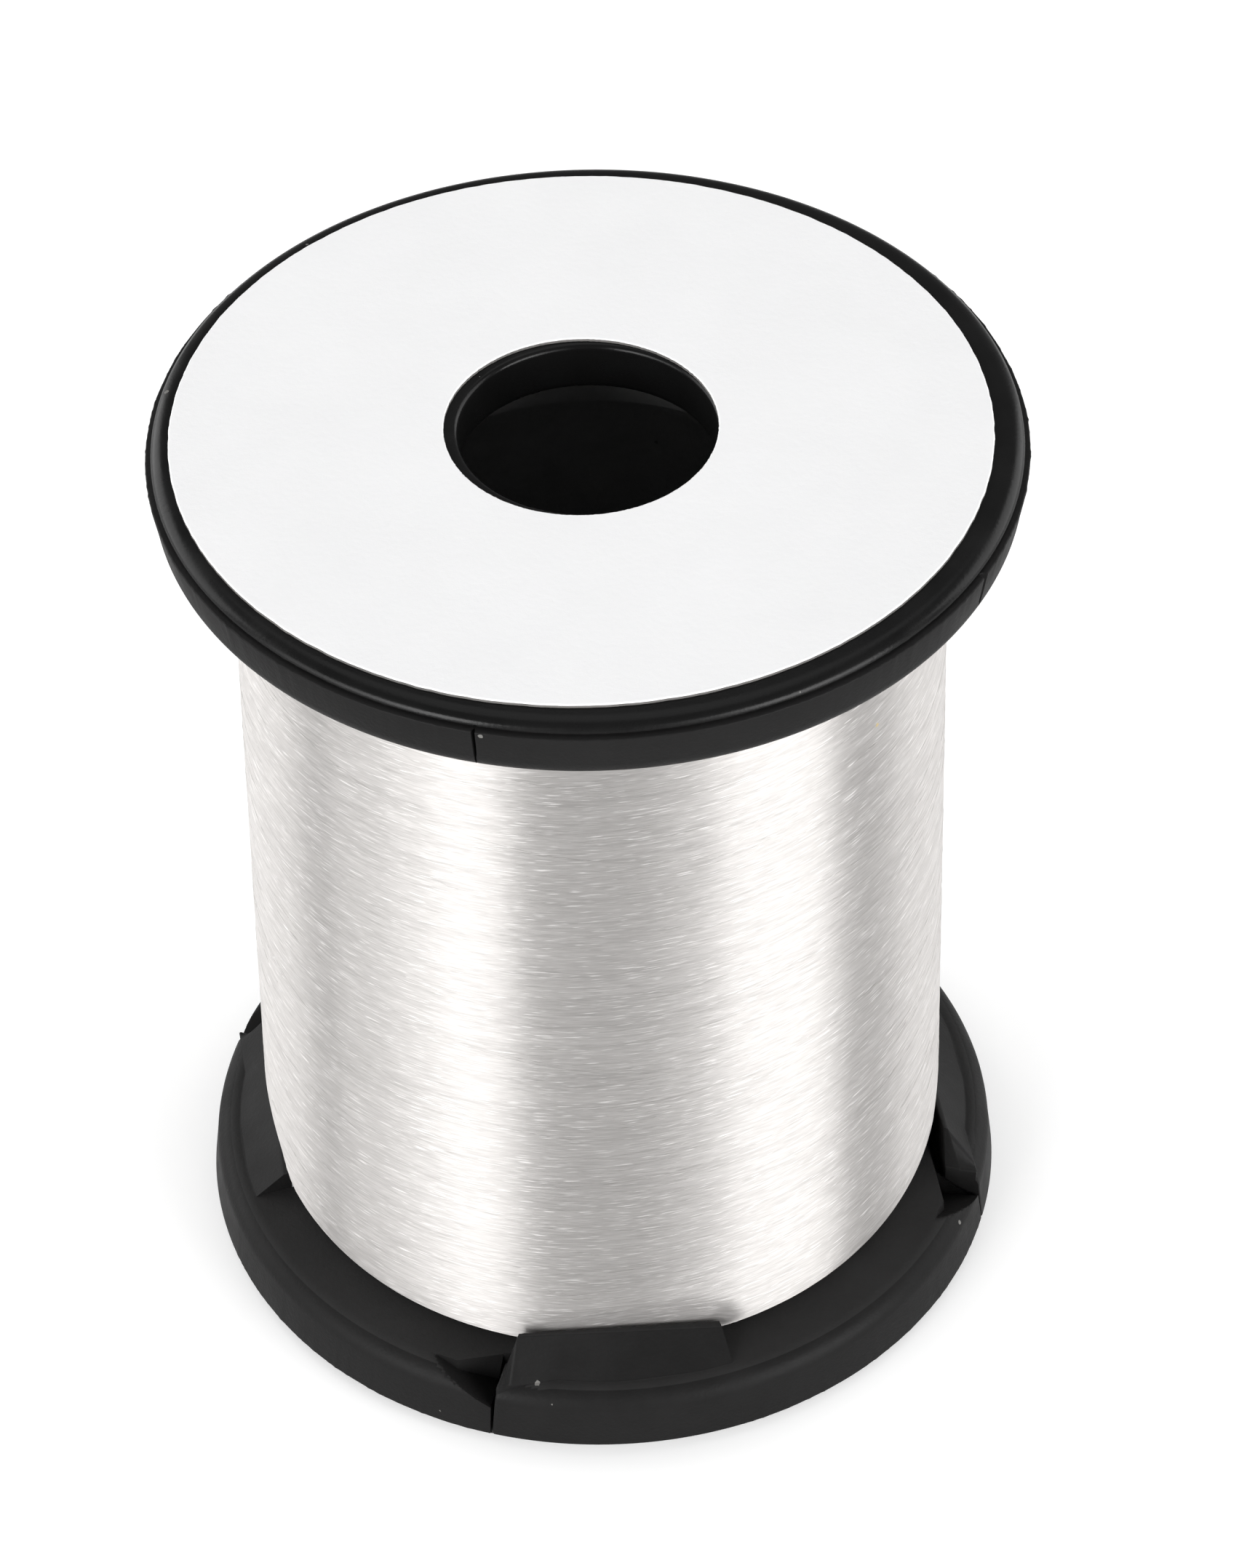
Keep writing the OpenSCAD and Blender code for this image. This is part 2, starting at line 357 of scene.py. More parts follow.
def lower_flange(finishes):
    """The lower flange, cut back to the slots' walls and open in front of each tip."""
    section = flange_section(flange_t, label_seat=True)
    middles = catch_middles()
    angles = [(angle, opening_limit(angle, middles)) for angle in round_angles(FLANGE_COLUMNS)]
    for middle in middles:
        root = middle + ROOT
        tip = middle - TIP - TIP_GAP
        angles += [(root - 1e-7, opening_limit(root, middles)), (root, None)]
        angles += [(tip, opening_limit(tip, middles)), (tip - 1e-7, None)]
    angles = [(angle % (2 * math.pi), limit) for angle, limit in angles]
    columns = []
    for angle, limit in sorted(angles, key=lambda pair: pair[0]):
        column = []
        for r, u in section:
            r = ragged_step(r, u, angle, seed=7.0, reach=0.02)
            if limit is None:
                r, u = ramped(r, u, angle, middles)
            elif r > SPIGOT_R + 0.5:
                r = cut_back(r, u, limit)
            column.append(place(r, angle, u))
        columns.append(column)
    mesh = grid_mesh("lower_flange_moulding", columns, wrap=True)
    return add_piece("lower_flange_moulding", mesh, BODY, "lower_flange",
                     finishes)


def rib_top(turn):
    """The height of a rib's crest above the inner face, at a turn from the catch's middle."""
    along = -CATCH_OFF * math.tan(turn)
    end = CATCH_OFF * math.tan(TIP)
    start = -CATCH_OFF * math.tan(ROOT)
    rise = (RIB_TIP_H - RIB_ROOT_H) * (along - start) / (end - start)
    return max(0.0, min(RIB_ROOT_H + rise, RIB_TIP_H * (end - along) / RIB_END))


def catch_section(turn):
    """The closed section of a catch at a turn from its middle: radius and height."""
    stretch = 1 / math.cos(turn)     # straight edges stand further out away from the middle
    height = rib_top(turn)
    spread = CREST_SPREAD * (1 - height / RIB_TIP_H)
    inner = CATCH_OFF * stretch
    crest = (CATCH_OFF + RIB_CREST + spread) * stretch
    top = flange_t + height
    least = (CATCH_OFF + RIB_LEAST) * stretch
    foot = min((CATCH_OFF + RIB_FOOT) * stretch, max(SHOULDER_R - RIM_ROOM, least))
    end = 90
    if foot > SHOULDER_R:
        end = math.degrees(math.acos(min(1, (foot - SHOULDER_R) / SHOULDER)))
    points = rim_section(inner + EDGE, CATCH_LIFT, flange_t)[:-SHOULDER_STEPS - 1]
    points += arc((SHOULDER_R, flange_t - SHOULDER), (SHOULDER, SHOULDER), 0, end,
                  SHOULDER_STEPS)
    points += [(foot + 0.01, max(flange_t - 0.01, points[-1][1])), (foot - 0.02, flange_t + 0.02)]
    points += [(crest, top - EDGE * 0.5), (crest - EDGE * 0.4, top - EDGE * 0.15)]
    points += [(crest - EDGE, top)]
    fine = EDGE * 0.6
    points += arc((inner + fine, top - fine), (fine, fine), 90, 180, 3)
    points += arc((inner + EDGE, CATCH_LIFT + EDGE), (EDGE, EDGE), 180, 260, 3)
    return points


def drawn_in(section, share):
    """A section pulled towards its own middle, for the rounded end of a catch."""
    mid_r = sum(point[0] for point in section) / len(section)
    mid_z = sum(point[1] for point in section) / len(section)
    return [(r + (mid_r - r) * share, z + (mid_z - z) * share) for r, z in section]


def catch_turns():
    """The turns at which a catch's sections stand, close together on the rib's end."""
    slope_from = -math.atan(math.tan(TIP) - RIB_END / CATCH_OFF)
    turns = [ROOT + (slope_from - ROOT) * i / CATCH_STEPS for i in range(CATCH_STEPS + 1)]
    turns += [slope_from + (-TIP - slope_from) * i / END_STEPS
              for i in range(1, END_STEPS + 1)]
    return turns


def leaning(r, z, angle, share):
    """A point of a catch, moved by a share of the lean that its tip face has low down."""
    return place(r, angle - share * TIP_DRAFT * max(0, 1 - z / flange_t), z)


def thread_catch(index, middle, finishes):
    """One springy catch: a length of rim with a rib, cut free behind and at its tip."""
    node = f"thread_catch_{index + 1}"
    columns = []
    for turn in catch_turns():
        lean = max(0, (-turn - LEAN_FROM) / (TIP - LEAN_FROM))
        section = catch_section(turn)
        columns.append([leaning(r, z, middle + turn, lean) for r, z in section])
    for share, back in TIP_ROUNDING:
        angle = middle - TIP - (1 - back) * EDGE / rim_r
        section = drawn_in(catch_section(-TIP), share)
        columns.append([leaning(r, z, angle, 1) for r, z in section])
    mesh = grid_mesh(node + "_moulding", columns, wrap=False, caps=True)
    return add_piece(node + "_moulding", mesh, f"catch_{index + 1}", node,
                     finishes)


def finish_faces(piece, face_z, inwards):
    """Gives a moulding its finishes: its outer face is at face_z, inwards is +1 or -1.

    The outer face, its rounding and the bore are polished; the flat inner face is matt and
    painted lighter, as painted light;
    the inside of the spigot is painted light grey, as painted light in the hollow; and the rest
    stays satin.
    """
    for polygon in piece.data.polygons:
        u = (polygon.center.z / MM - face_z) * inwards
        r = polygon.center.xy.length / MM
        if r < POLISHED_R or u < FACE_ROUND[1]:
            polygon.material_index = GLOSS
        elif r < SPIGOT_R - SPIGOT_WALL / 2 and u > HIDDEN_U:
            polygon.material_index = INSIDE_PAINTED_LIGHT
        elif polygon.normal.z * inwards > FLAT_FACE:
            polygon.material_index = MATT_PAINTED_LIGHT


# ---------------------------------------------------------------- winding

def wound_radius(z):
    """The radius of the wound thread at a height, before its unevenness."""
    low = flange_t
    top = spool_h - top_flange_t
    share = (z - low) / (top - low)
    radius = WOUND_LOW_R + (WOUND_TOP_R - WOUND_LOW_R) * min(1, max(0, share * 1.15 - 0.1))
    above = min(1, (z - low) / LOW_ROUND)
    below = min(1, (top - z) / TOP_ROUND)
    low_fall = (radius - WOUND_EDGE_R) * (1 - math.sqrt(max(0, 1 - (1 - above) ** 2)))
    top_fall = (radius - WOUND_EDGE_R) * (1 - math.sqrt(max(0, 1 - (1 - below) ** 2)))
    return radius - low_fall - top_fall


def lay_height(angle, z):
    """Unevenness of the wound surface: bundles of turns climbing both ways round."""
    total = 0
    for sense, weight in ((1, 1.0), (-1, 0.55)):
        spin = angle - sense * 2 * math.pi * z / LAY_LEAD
        spot = Vector((math.cos(spin), math.sin(spin), 0.03 * z * sense))
        total += weight * (noise.noise(spot * 6 + Vector((3, 1, sense)))
                           + 0.6 * noise.noise(spot * 17) + 0.4 * noise.noise(spot * 41))
    return total


def soft_min(first, second, blend):
    """The smaller of two values, rounded over where they meet."""
    near = max(0, blend - abs(first - second)) / blend
    return min(first, second) - near * near * blend / 4


def dented(r, angle, z, middles):
    """Keeps the winding clear of the catches' ribs."""
    if z > flange_t + RIB_TIP_H + DENT_REACH:
        return r
    for middle in middles:
        turn = turn_from(middle, angle)
        if abs(turn) < DENT_SPAN:
            rib = flange_t + rib_top(min(ROOT, max(DENT_FROM, turn))) + DENT_ROOM
            ease = DENT_RISE * max(0, z - rib) + DENT_END * max(0, turn - ROOT)
            r = soft_min(r, DENT_OFF / math.cos(turn) + ease, DENT_BLEND)
    return r


def thread_winding(silk_thread):
    """The wound thread: an uneven sleeve from flange to flange."""
    middles = catch_middles()
    low = flange_t + FLANGE_ROOM
    top = spool_h - top_flange_t - FLANGE_ROOM
    heights = [low + (top - low) * i / WINDING_ROWS for i in range(WINDING_ROWS + 1)]
    columns = []
    for angle in round_angles(WINDING_COLUMNS):
        column = [place(drum_r + FLANGE_ROOM, angle, low)]
        for z in heights:
            r = dented(wound_radius(z), angle, z, middles)
            column.append(place(r + UNEVEN * lay_height(angle, z), angle, z))
        column.append(place(drum_r + FLANGE_ROOM, angle, top))
        columns.append(column)
    mesh = grid_mesh("wound_thread", columns, wrap=True)
    return add_piece("wound_thread", mesh, BODY, "thread_winding", [silk_thread],
                     crease=60)


def strand_rings(start, length, climb, middle_z, half, middles):
    """The rings of points along one loose turn, sunk into the winding at both its ends."""
    steps = max(6, int(length / STRAND_STEP))
    low = flange_t + 0.3
    high = spool_h - top_flange_t - 0.15
    rings = []
    for i in range(steps + 1):
        along = i / steps
        angle = start + length * along
        waver = 0.02 * math.sin(9 * along + start)
        z = min(high, max(low, middle_z + climb * length * (along - 0.5) + waver))
        sunk = STRAND_SUNK * (abs(2 * along - 1) ** 12)
        r = dented(wound_radius(z), angle, z, middles) + STRAND_PROUD - sunk
        r += UNEVEN * lay_height(angle, z)
        ring = []
        for j in range(STRAND_SIDES):
            a = 2 * math.pi * j / STRAND_SIDES
            out = r + STRAND_FLATNESS * half * math.cos(a)
            ring.append(place(out, angle, z + half * math.sin(a)))
        rings.append(ring)
    return rings


def strand_faces(first, count):
    """The faces of one loose turn whose points start at a place in the list."""
    faces = []
    for i in range(count - 1):
        for j in range(STRAND_SIDES):
            a = first + i * STRAND_SIDES + j
            b = first + i * STRAND_SIDES + (j + 1) % STRAND_SIDES
            faces.append((a, b, b + STRAND_SIDES, a + STRAND_SIDES))
    last = first + (count - 1) * STRAND_SIDES
    faces.append(tuple(first + j for j in reversed(range(STRAND_SIDES))))
    faces.append(tuple(last + j for j in range(STRAND_SIDES)))
    return faces


def loose_turns(silk_thread):
    """Single turns that lie on top of the winding, each as a fine flat strand."""
    middles = catch_middles()
    draw = random.Random(11)
    points = []
    faces = []
    for _ in range(TURN_COUNT):
        start = draw.uniform(0, 2 * math.pi)
        length = draw.uniform(0.05, 0.6) if draw.random() < 0.85 else draw.uniform(1, 3)
        sense = 1 if draw.random() < 0.75 else -1
        climb = sense * LAY_LEAD / (2 * math.pi) * draw.uniform(0.75, 1.1)
        middle_z = draw.uniform(flange_t + 1.2, spool_h - top_flange_t - 1.0)
        half = draw.uniform(0.007, 0.013)
        rings = strand_rings(start, length, climb, middle_z, half, middles)
        faces += strand_faces(len(points), len(rings))
        points += [point for ring in rings for point in ring]
    mesh = bpy.data.meshes.new("loose_turns")
    mesh.from_pydata(points, [], faces)
    return add_piece("loose_turns", mesh, BODY, None, [silk_thread], crease=80)


# ---------------------------------------------------------------- labels

def cut_roughness(angle, seed, scale, reach):
    """Roughness of a cut edge at an angle round it."""
    return reach * noise.noise(Vector((math.sin(angle), math.cos(angle), seed)) * scale)


def paper_label(node, faces_up, papers):
    """A die-cut paper disc with a hole, its edges a little rough and painted dark as shade."""
    low, high = [Vector(corner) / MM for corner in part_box(node)]
    centre = (low + high) / 2
    outer = (high.x - low.x) / 2 - LABEL_ROOM
    thick = high.z - low.z
    columns = []
    for angle in round_angles(LABEL_COLUMNS):
        r0 = LABEL_HOLE_R + cut_roughness(angle, seed=5, scale=40, reach=0.012)
        coarse = cut_roughness(angle, seed=1, scale=30, reach=0.014)
        fine = cut_roughness(angle, seed=2, scale=130, reach=0.006)
        r1 = outer + (coarse + fine)
        section = [(r0, 0), (r0, thick * 0.7), (r0 + 0.03, thick)]
        section += [(r0 + (r1 - r0) * k / 6, thick) for k in range(1, 6)]
        section += [(r1 - 0.03, thick), (r1, thick * 0.7), (r1, 0)]
        column = []
        for r, z in section:
            height = low.z + z if faces_up else high.z - z
            column.append(place(r, angle, height) + Vector((centre.x, centre.y, 0)) * MM)
        columns.append(column)
    mesh = grid_mesh(node + "_paper", columns, wrap=True)
    piece = add_piece(node + "_paper", mesh, BODY, node, papers)
    # Its cut edge takes the dark paper: painted shade that keeps the edge from showing lit
    for polygon in mesh.polygons:
        if abs(polygon.normal.z) < 0.5:
            polygon.material_index = 1
    return piece


# ---------------------------------------------------------------- materials

def new_group(name, inputs, outputs):
    """An empty shader group with named sockets, and its two end nodes."""
    group = bpy.data.node_groups.new(name, "ShaderNodeTree")
    for label, kind, value in inputs:
        socket = group.interface.new_socket(label, in_out="INPUT", socket_type=kind)
        if value is not None:
            socket.default_value = value
    for label, kind in outputs:
        group.interface.new_socket(label, in_out="OUTPUT", socket_type=kind)
    return group, group.nodes.new("NodeGroupInput"), group.nodes.new("NodeGroupOutput")


def feed(tree, socket, value):
    """Gives a socket a number, or a link from another socket."""
    if isinstance(value, (int, float)):
        socket.default_value = value
    else:
        tree.links.new(value, socket)


def math_node(tree, operation, *operands):
    """A math node; each operand is a number or a socket."""
    node = tree.nodes.new("ShaderNodeMath")
    node.operation = operation
    for socket, value in zip(node.inputs, operands):
        feed(tree, socket, value)
    return node.outputs[0]


def noise_node(tree, vector, scale, detail=2.0, roughness=0.5):
    """A noise node; its scale, detail and roughness are numbers or sockets."""
    node = tree.nodes.new("ShaderNodeTexNoise")
    for label, value in (("Scale", scale), ("Detail", detail), ("Roughness", roughness)):
        feed(tree, node.inputs[label], value)
    tree.links.new(vector, node.inputs["Vector"])
    return node.outputs["Fac"]


def band_node(tree, value, low, high, to_low=0.0, to_high=1.0):
    """Spreads one range of a value over another, and clamps it."""
    node = tree.nodes.new("ShaderNodeMapRange")
    for label, number in (("From Min", low), ("From Max", high), ("To Min", to_low),
                          ("To Max", to_high)):
        feed(tree, node.inputs[label], number)
    tree.links.new(value, node.inputs["Value"])
    return node.outputs["Result"]


def grain_group():
    """Fine surface grain and broad mottling, from one vector."""
    group, start, end = new_group(
        "surface_grain",
        [("Vector", "NodeSocketVector", None), ("Grain Scale", "NodeSocketFloat", 4000.0),
         ("Mottle Scale", "NodeSocketFloat", 300.0)],
        [("Height", "NodeSocketFloat"), ("Mottle", "NodeSocketFloat")])
    vector = start.outputs["Vector"]
    fine = noise_node(group, vector, start.outputs["Grain Scale"], 3.0, 0.6)
    broad = noise_node(group, vector, start.outputs["Mottle Scale"], 4.0, 0.55)
    group.links.new(fine, end.inputs["Height"])
    group.links.new(broad, end.inputs["Mottle"])
    return group


LINT_SCALE = 9000.0
LINT_REACH = 0.00008             # how far a speck's outline is drawn out, in metres


def dust_group():
    """A mask of small scattered specks, some of them drawn out into lint."""
    group, start, end = new_group(
        "dust_specks",
        [("Vector", "NodeSocketVector", None), ("Scale", "NodeSocketFloat", 1500.0),
         ("Size", "NodeSocketFloat", 0.1), ("Share", "NodeSocketFloat", 0.1)],
        [("Mask", "NodeSocketFloat")])
    warp = group.nodes.new("ShaderNodeTexNoise")
    warp.inputs["Scale"].default_value = LINT_SCALE
    group.links.new(start.outputs["Vector"], warp.inputs["Vector"])
    mix = group.nodes.new("ShaderNodeVectorMath")
    mix.operation = "MULTIPLY_ADD"
    mix.inputs[1].default_value = (LINT_REACH, LINT_REACH, LINT_REACH)
    group.links.new(warp.outputs["Color"], mix.inputs[0])
    group.links.new(start.outputs["Vector"], mix.inputs[2])
    cells = group.nodes.new("ShaderNodeTexVoronoi")
    group.links.new(mix.outputs[0], cells.inputs["Vector"])
    group.links.new(start.outputs["Scale"], cells.inputs["Scale"])
    parts = group.nodes.new("ShaderNodeSeparateColor")
    group.links.new(cells.outputs["Color"], parts.inputs[0])
    chosen = math_node(group, "LESS_THAN", parts.outputs[0], start.outputs["Share"])
    size = math_node(group, "MULTIPLY", parts.outputs[1], start.outputs["Size"])
    near = math_node(group, "LESS_THAN", cells.outputs["Distance"], size)
    mask = math_node(group, "MULTIPLY", chosen, near)
    group.links.new(mask, end.inputs["Mask"])
    return group


def lay_group():
    """Streaks that follow a helix round Z, with no seam: the lay of wound thread."""
    group, start, end = new_group(
        "thread_lay",
        [("Vector", "NodeSocketVector", None), ("Twist", "NodeSocketFloat", 1500.0),
         ("Across", "NodeSocketFloat", 1000.0), ("Along", "NodeSocketFloat", 14000.0),
         ("Detail", "NodeSocketFloat", 3.0)],
        [("Streak", "NodeSocketFloat")])
    parts = group.nodes.new("ShaderNodeSeparateXYZ")
    group.links.new(start.outputs["Vector"], parts.inputs[0])
    angle = math_node(group, "MULTIPLY", parts.outputs["Z"], start.outputs["Twist"])
    spin = group.nodes.new("ShaderNodeVectorRotate")
    spin.rotation_type = "Z_AXIS"
    group.links.new(start.outputs["Vector"], spin.inputs["Vector"])
    group.links.new(angle, spin.inputs["Angle"])
    spun = group.nodes.new("ShaderNodeSeparateXYZ")
    group.links.new(spin.outputs[0], spun.inputs[0])
    join = group.nodes.new("ShaderNodeCombineXYZ")
    for axis, scale in (("X", "Across"), ("Y", "Across"), ("Z", "Along")):
        value = math_node(group, "MULTIPLY", spun.outputs[axis], start.outputs[scale])
        group.links.new(value, join.inputs[axis])
    streak = noise_node(group, join.outputs[0], 1.0, start.outputs["Detail"], 0.6)
    group.links.new(streak, end.inputs["Streak"])
    return group


def new_material(name):
    """A new material with its node tree, its shader and its object coordinates."""
    material = bpy.data.materials.new(name)
    material.use_nodes = True
    tree = material.node_tree
    shader = tree.nodes["Principled BSDF"]
    coords = tree.nodes.new("ShaderNodeTexCoord").outputs["Object"]
    return material, tree, shader, coords


def use_group(tree, group, vector, **values):
    """Places a group in a material with its own values, and gives its outputs."""
    node = tree.nodes.new("ShaderNodeGroup")
    node.node_tree = group
    tree.links.new(vector, node.inputs["Vector"])
    for label, value in values.items():
        node.inputs[label.replace("_", " ")].default_value = value
    return node.outputs


def colour_mix(tree, mask, first, second):
    """A colour between two, each a colour or a socket, by a mask."""
    node = tree.nodes.new("ShaderNodeMix")
    node.data_type = "RGBA"
    tree.links.new(mask, node.inputs["Factor"])
    for label, value in ((6, first), (7, second)):
        if isinstance(value, tuple):
            node.inputs[label].default_value = (*value, 1)
        else:
            tree.links.new(value, node.inputs[label])
    return node.outputs[2]


def bump(tree, shader, height, distance, strength=1.0):
    """Raises a shader's surface by a height; the distance is in metres."""
    node = tree.nodes.new("ShaderNodeBump")
    node.inputs["Distance"].default_value = distance
    node.inputs["Strength"].default_value = strength
    tree.links.new(height, node.inputs["Height"])
    tree.links.new(node.outputs[0], shader.inputs["Normal"])


# Colours of the specks in the finishes, and of the thread, with the colour of the thread's
# painted glints
PALE_DUST = (0.15, 0.147, 0.14)
DARK_FIBRE = (0.35, 0.33, 0.3)
THREAD_SHADE = (0.435, 0.42, 0.409)
THREAD_LIGHT = (0.64, 0.62, 0.605)
THREAD_PAINTED_GLINT = (0.80, 0.782, 0.77)
THREAD_SPECK = (0.72, 0.6, 0.35)


def plastic(name, grain, dust, colour, roughness, sheen, grain_depth, dust_share):
    """Moulded plastic: fine grain, uneven gloss and a little pale dust."""
    material, tree, shader, coords = new_material(name)
    surface = use_group(tree, grain, coords, Grain_Scale=9000.0, Mottle_Scale=700.0)
    specks = use_group(tree, dust, coords, Scale=2600.0, Size=0.2, Share=dust_share)
    dark, light = [tuple(channel * share for channel in colour) for share in (0.8, 1.25)]
    body = colour_mix(tree, surface["Mottle"], dark, light)
    base = colour_mix(tree, specks["Mask"], body, PALE_DUST)
    tree.links.new(base, shader.inputs["Base Color"])
    gloss = band_node(tree, surface["Mottle"], 0.3, 0.7, roughness - 0.06, roughness + 0.08)
    dusty = math_node(tree, "MULTIPLY_ADD", specks["Mask"], 0.4, gloss)
    tree.links.new(dusty, shader.inputs["Roughness"])
    bump(tree, shader, surface["Height"], grain_depth)
    shader.inputs["Specular IOR Level"].default_value = sheen
    return material


def paper(name, grain, dust, dark, light):
    """Matt coated label paper: faint fibres, a little mottling and a few dark specks."""
    material, tree, shader, coords = new_material(name)
    surface = use_group(tree, grain, coords, Grain_Scale=5200.0, Mottle_Scale=420.0)
    specks = use_group(tree, dust, coords, Scale=900.0, Size=0.07, Share=0.06)
    body = colour_mix(tree, surface["Mottle"], dark, light)
    base = colour_mix(tree, specks["Mask"], body, DARK_FIBRE)
    tree.links.new(base, shader.inputs["Base Color"])
    gloss = band_node(tree, surface["Mottle"], 0.3, 0.7, 0.75, 0.88)
    tree.links.new(gloss, shader.inputs["Roughness"])
    bump(tree, shader, surface["Height"], 0.000012)
    shader.inputs["Specular IOR Level"].default_value = 0.12
    return material


def thread(lay, dust):
    """Fine silvery multifilament thread, wound both ways, with a silky sheen and painted glints.
    """
    material, tree, shader, coords = new_material("silk_thread")
    turn = 2 * math.pi / (LAY_LEAD * MM)
    over = use_group(tree, lay, coords, Twist=-turn, Across=1700.0, Along=15000.0)["Streak"]
    under = use_group(tree, lay, coords, Twist=turn, Across=1200.0, Along=9000.0)["Streak"]
    bundle = use_group(tree, lay, coords, Twist=-turn, Across=220.0, Along=1500.0)["Streak"]
    # Short bright streaks painted on the thread: painted glints, standing in for light caught by
    # stray filaments
    glint_streak = use_group(tree, lay, coords, Twist=-turn, Across=2600.0, Along=17000.0,
                      Detail=1.0)["Streak"]
    height = math_node(tree, "MULTIPLY_ADD", under, 0.5, over)
    height = math_node(tree, "MULTIPLY_ADD", bundle, 0.4, height)
    tone = band_node(tree, height, 0.7, 1.25)
    body = colour_mix(tree, tone, THREAD_SHADE, THREAD_LIGHT)
    glint_mask = band_node(tree, glint_streak, 0.60, 0.72)
    body = colour_mix(tree, glint_mask, body, THREAD_PAINTED_GLINT)
    specks = use_group(tree, dust, coords, Scale=700.0, Size=0.06, Share=0.05)
    base = colour_mix(tree, specks["Mask"], body, THREAD_SPECK)
    tree.links.new(base, shader.inputs["Base Color"])
    gloss = band_node(tree, over, 0.3, 0.7, 0.43, 0.5)
    silky = math_node(tree, "MULTIPLY_ADD", glint_mask, 0.3, gloss)
    tree.links.new(silky, shader.inputs["Roughness"])
    bump(tree, shader, height, 0.000013, 0.8)
    shader.inputs["Metallic"].default_value = 0.75
    shader.inputs["Anisotropic"].default_value = 1.0
    shader.inputs["Anisotropic Rotation"].default_value = 0.25
    tangent = tree.nodes.new("ShaderNodeTangent")
    tangent.direction_type = "RADIAL"
    tangent.axis = "Z"
    tree.links.new(tangent.outputs[0], shader.inputs["Tangent"])
    return material


# ---------------------------------------------------------------- stage

FLOOR_SIZE = 3.0                 # metres along each side
FLOOR_GLOW = 0.36                # lift towards white near the spool
FLOOR_FADE = (0.1, 0.5)          # metres from the spool between which the floor turns white
SKY_LEVEL = 0.26                 # light from the sky; the camera sees it white


def pale_floor():
    """The floor's material: matt, and lifted towards white for the camera alone."""
    material, tree, shader, coords = new_material("pale_floor")
    shader.inputs["Base Color"].default_value = (0.75, 0.75, 0.75, 1)
    shader.inputs["Roughness"].default_value = 0.9
    shader.inputs["Specular IOR Level"].default_value = 0.0
    shader.inputs["Emission Color"].default_value = (1, 1, 1, 1)
    length = tree.nodes.new("ShaderNodeVectorMath")
    length.operation = "LENGTH"
    tree.links.new(coords, length.inputs[0])
    far = band_node(tree, length.outputs["Value"], *FLOOR_FADE, FLOOR_GLOW, 1)
    path = tree.nodes.new("ShaderNodeLightPath")
    glow = math_node(tree, "MULTIPLY", path.outputs["Is Camera Ray"], far)
    tree.links.new(glow, shader.inputs["Emission Strength"])
    return material


def lay_floor():
    """A pale floor that keeps the spool's shadow."""
    mesh = bpy.data.meshes.new("floor")
    half = FLOOR_SIZE / 2
    below = -0.02 * MM
    corners = [(-half, -half, below), (half, -half, below), (half, half, below),
               (-half, half, below)]
    mesh.from_pydata(corners, [], [(0, 1, 2, 3)])
    mesh.materials.append(pale_floor())
    floor = bpy.data.objects.new("floor", mesh)
    bpy.context.collection.objects.link(floor)


def sky():
    """A plain pale sky."""
    world = bpy.data.worlds.new("sky")
    bpy.context.scene.world = world
    world.use_nodes = True
    tree = world.node_tree
    background = tree.nodes["Background"]
    background.inputs["Color"].default_value = (1, 1, 1, 1)
    path = tree.nodes.new("ShaderNodeLightPath")
    level = band_node(tree, path.outputs["Is Camera Ray"], 0, 1, SKY_LEVEL, 1)
    tree.links.new(level, background.inputs["Strength"])


# Each soft box: name, direction from the front, height angle, half width and half height
# (all in degrees, as seen from the spool) and brightness
SOFT_BOXES = [
    ("left_box", -35.5, 13, 10.5, 16, 9.1),
    ("left_middle", -53, 13, 7, 16, 5.5),
    ("left_fill", -70, 13, 10, 16, 3.0),
    ("right_box", 51.5, 13, 18, 16, 8.2),
    ("right_fill", 25, 13, 7, 16, 2.1),
    ("back_left", -121, 15, 27, 25, 2.7),
    ("back_right", 118, 15, 24, 25, 2.3),
    ("top_box", 180, 72, 20, 20, 0.8),
]
LAMP_DISTANCE = 0.5              # metres from the spool's middle


def soft_boxes():
    """Plain soft lamps round the spool, all aimed at its middle."""
    aim = Vector((0, 0, spool_h / 2 * MM))
    for name, around, up, half_width, half_height, level in SOFT_BOXES:
        width = 2 * LAMP_DISTANCE * math.tan(math.radians(half_width))
        height = 2 * LAMP_DISTANCE * math.tan(math.radians(half_height))
        light = bpy.data.lights.new(name, "AREA")
        light.shape = "RECTANGLE"
        light.size = width
        light.size_y = height
        light.energy = level * math.pi * width * height
        lamp = bpy.data.objects.new(name, light)
        turn = math.radians(around)
        rise = math.radians(up)
        lamp.location = aim + LAMP_DISTANCE * Vector(
            (math.sin(turn) * math.cos(rise), -math.cos(turn) * math.cos(rise), math.sin(rise)))
        lamp.rotation_euler = (lamp.location - aim).to_track_quat("Z", "Y").to_euler()
        lamp.visible_camera = False
        bpy.context.collection.objects.link(lamp)


# Camera: a long lens that looks down on the spool from its front
CAMERA_AT = Vector((0, -99.2, 109.4)) * MM
CAMERA_DOWN = math.radians(43.67)
CAMERA_YAW = math.radians(0.5)
CAMERA_ROLL = math.radians(-0.96)
SENSOR = 36                      # height of the sensor and length of the lens, in mm
LENS = 116.1


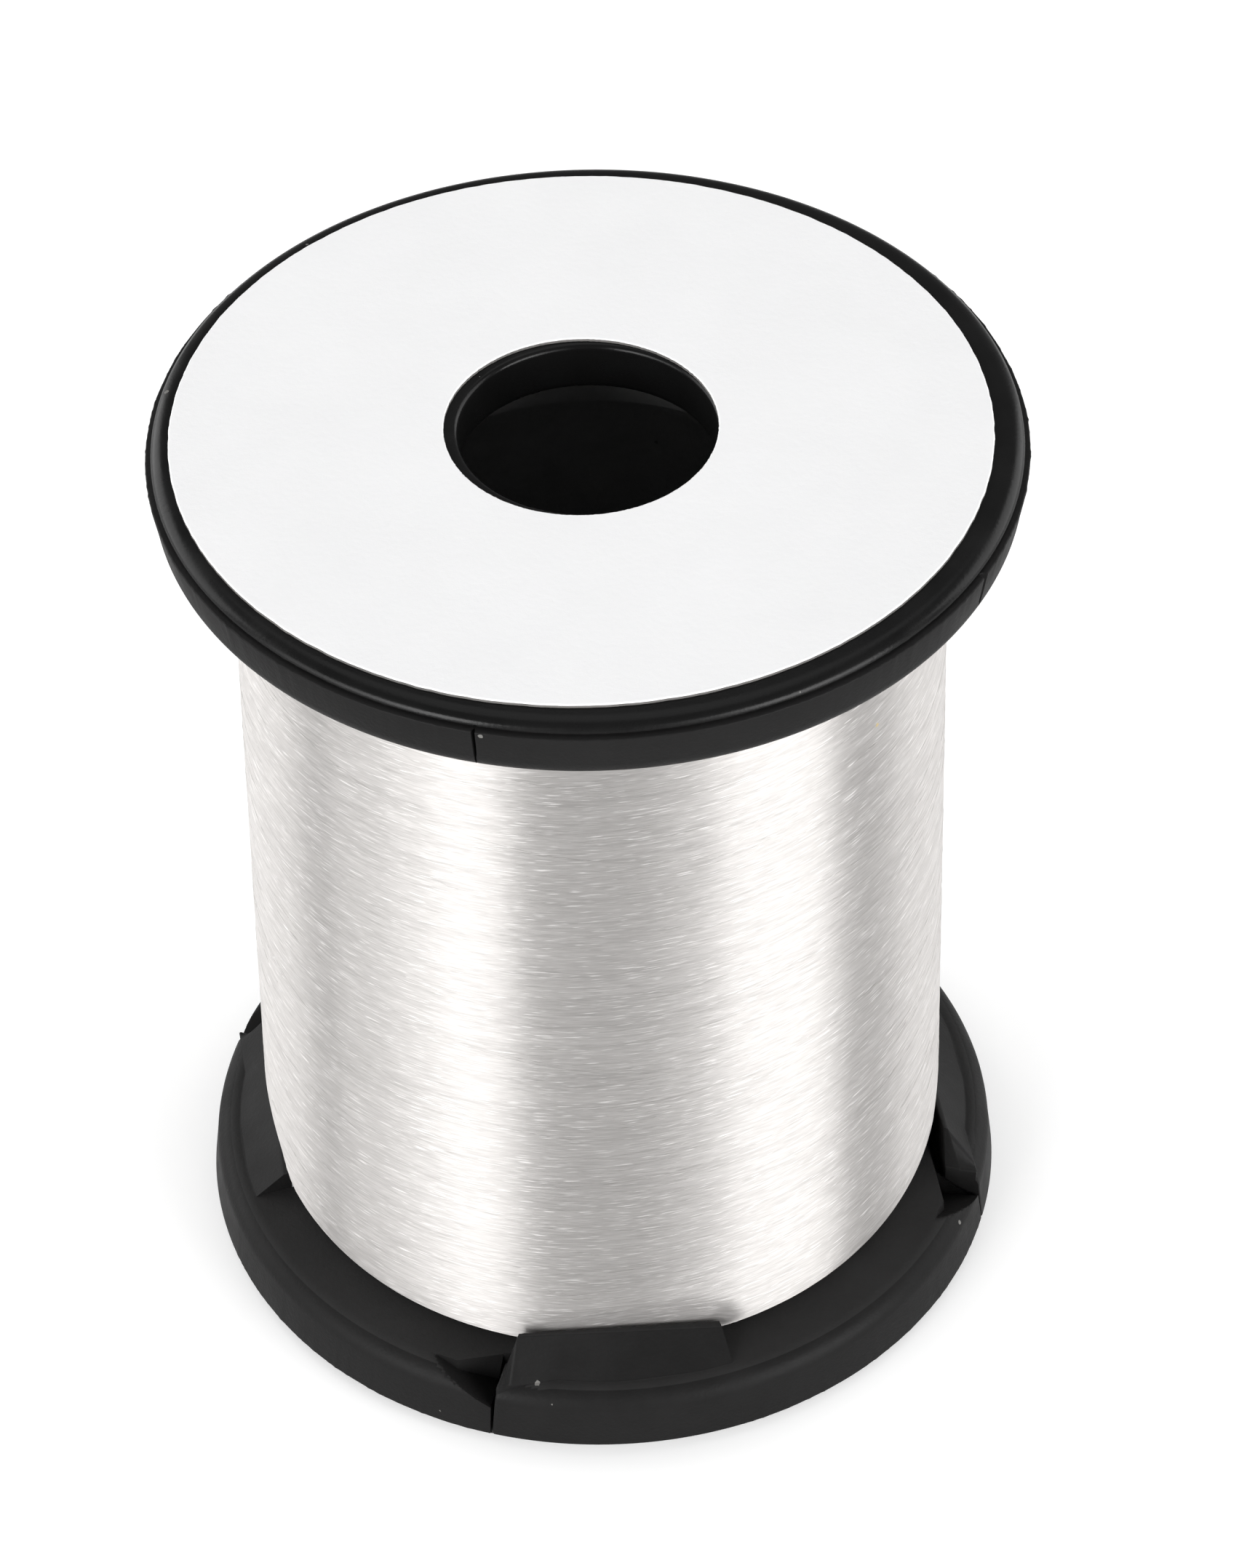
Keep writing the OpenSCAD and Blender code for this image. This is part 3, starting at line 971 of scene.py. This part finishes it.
def camera():
    """The camera, turned by its yaw, its downward angle and its roll."""
    data = bpy.data.cameras.new("camera")
    data.sensor_fit = "VERTICAL"
    data.sensor_height = SENSOR
    data.lens = LENS
    data.clip_start = 0.005
    data.clip_end = 10
    eye = bpy.data.objects.new("camera", data)
    forward = Vector((math.sin(CAMERA_YAW) * math.cos(CAMERA_DOWN),
                      math.cos(CAMERA_YAW) * math.cos(CAMERA_DOWN), -math.sin(CAMERA_DOWN)))
    right = Vector((math.cos(CAMERA_YAW), -math.sin(CAMERA_YAW), 0))
    up = right.cross(forward)
    turned = right * math.cos(CAMERA_ROLL) + up * math.sin(CAMERA_ROLL)
    upright = up * math.cos(CAMERA_ROLL) - right * math.sin(CAMERA_ROLL)
    matrix = eye.matrix_world.to_3x3()
    matrix.col[0] = turned
    matrix.col[1] = upright
    matrix.col[2] = -forward
    eye.matrix_world = matrix.to_4x4()
    eye.location = CAMERA_AT
    bpy.context.collection.objects.link(eye)
    bpy.context.scene.camera = eye


# ---------------------------------------------------------------- build

grain = grain_group()
dust = dust_group()
lay = lay_group()
satin_plastic = plastic("satin_plastic", grain, dust, (0.011, 0.0108, 0.0108), 0.45, 0.08,
                        0.00001, 0.03)
gloss_plastic = plastic("gloss_plastic", grain, dust, (0.005, 0.005, 0.005), 0.24, 0.17,
                        0.000004, 0.06)
# Light grey as painted light: it lifts the shade in the hollow seen through the bore, on the
# spigot's inside and the drum
inside_painted_light_plastic = plastic("inside_painted_light_plastic", grain, dust, (0.25, 0.25, 0.25), 0.6, 0.1,
                       0.00001, 0.03)
# Matt, and lighter than the satin: painted light on the flat inner faces
matt_painted_light_plastic = plastic("matt_painted_light_plastic", grain, dust, (0.019, 0.0188, 0.0188), 0.55, 0.1,
                       0.00001, 0.03)
black_plastic = [satin_plastic, gloss_plastic, matt_painted_light_plastic, inside_painted_light_plastic]
label_paper = paper("label_paper", grain, dust, (0.82, 0.82, 0.825), (0.87, 0.87, 0.875))
# Dark paper for the labels' cut edges: painted shade
painted_shade_paper_edge = paper("painted_shade_paper_edge", grain, dust, (0.10, 0.10, 0.10), (0.2, 0.19, 0.18))
silk_thread = thread(lay, dust)

finish_faces(upper_flange(black_plastic), spool_h, -1)
finish_faces(lower_flange(black_plastic), 0, 1)
for index, middle in enumerate(catch_middles()):
    finish_faces(thread_catch(index, middle, black_plastic), 0, 1)
thread_winding(silk_thread)
loose_turns(silk_thread)
for node, faces_up in (("upper_label", True), ("lower_label", False)):
    paper_label(node, faces_up, [label_paper, painted_shade_paper_edge])
# The drum, seen through the bore, takes the light grey that paints light into the hollow
bpy.data.objects["drum"].material_slots[0].material = inside_painted_light_plastic

camera()
lay_floor()
sky()
soft_boxes()
bpy.context.scene.view_settings.view_transform = "Standard"
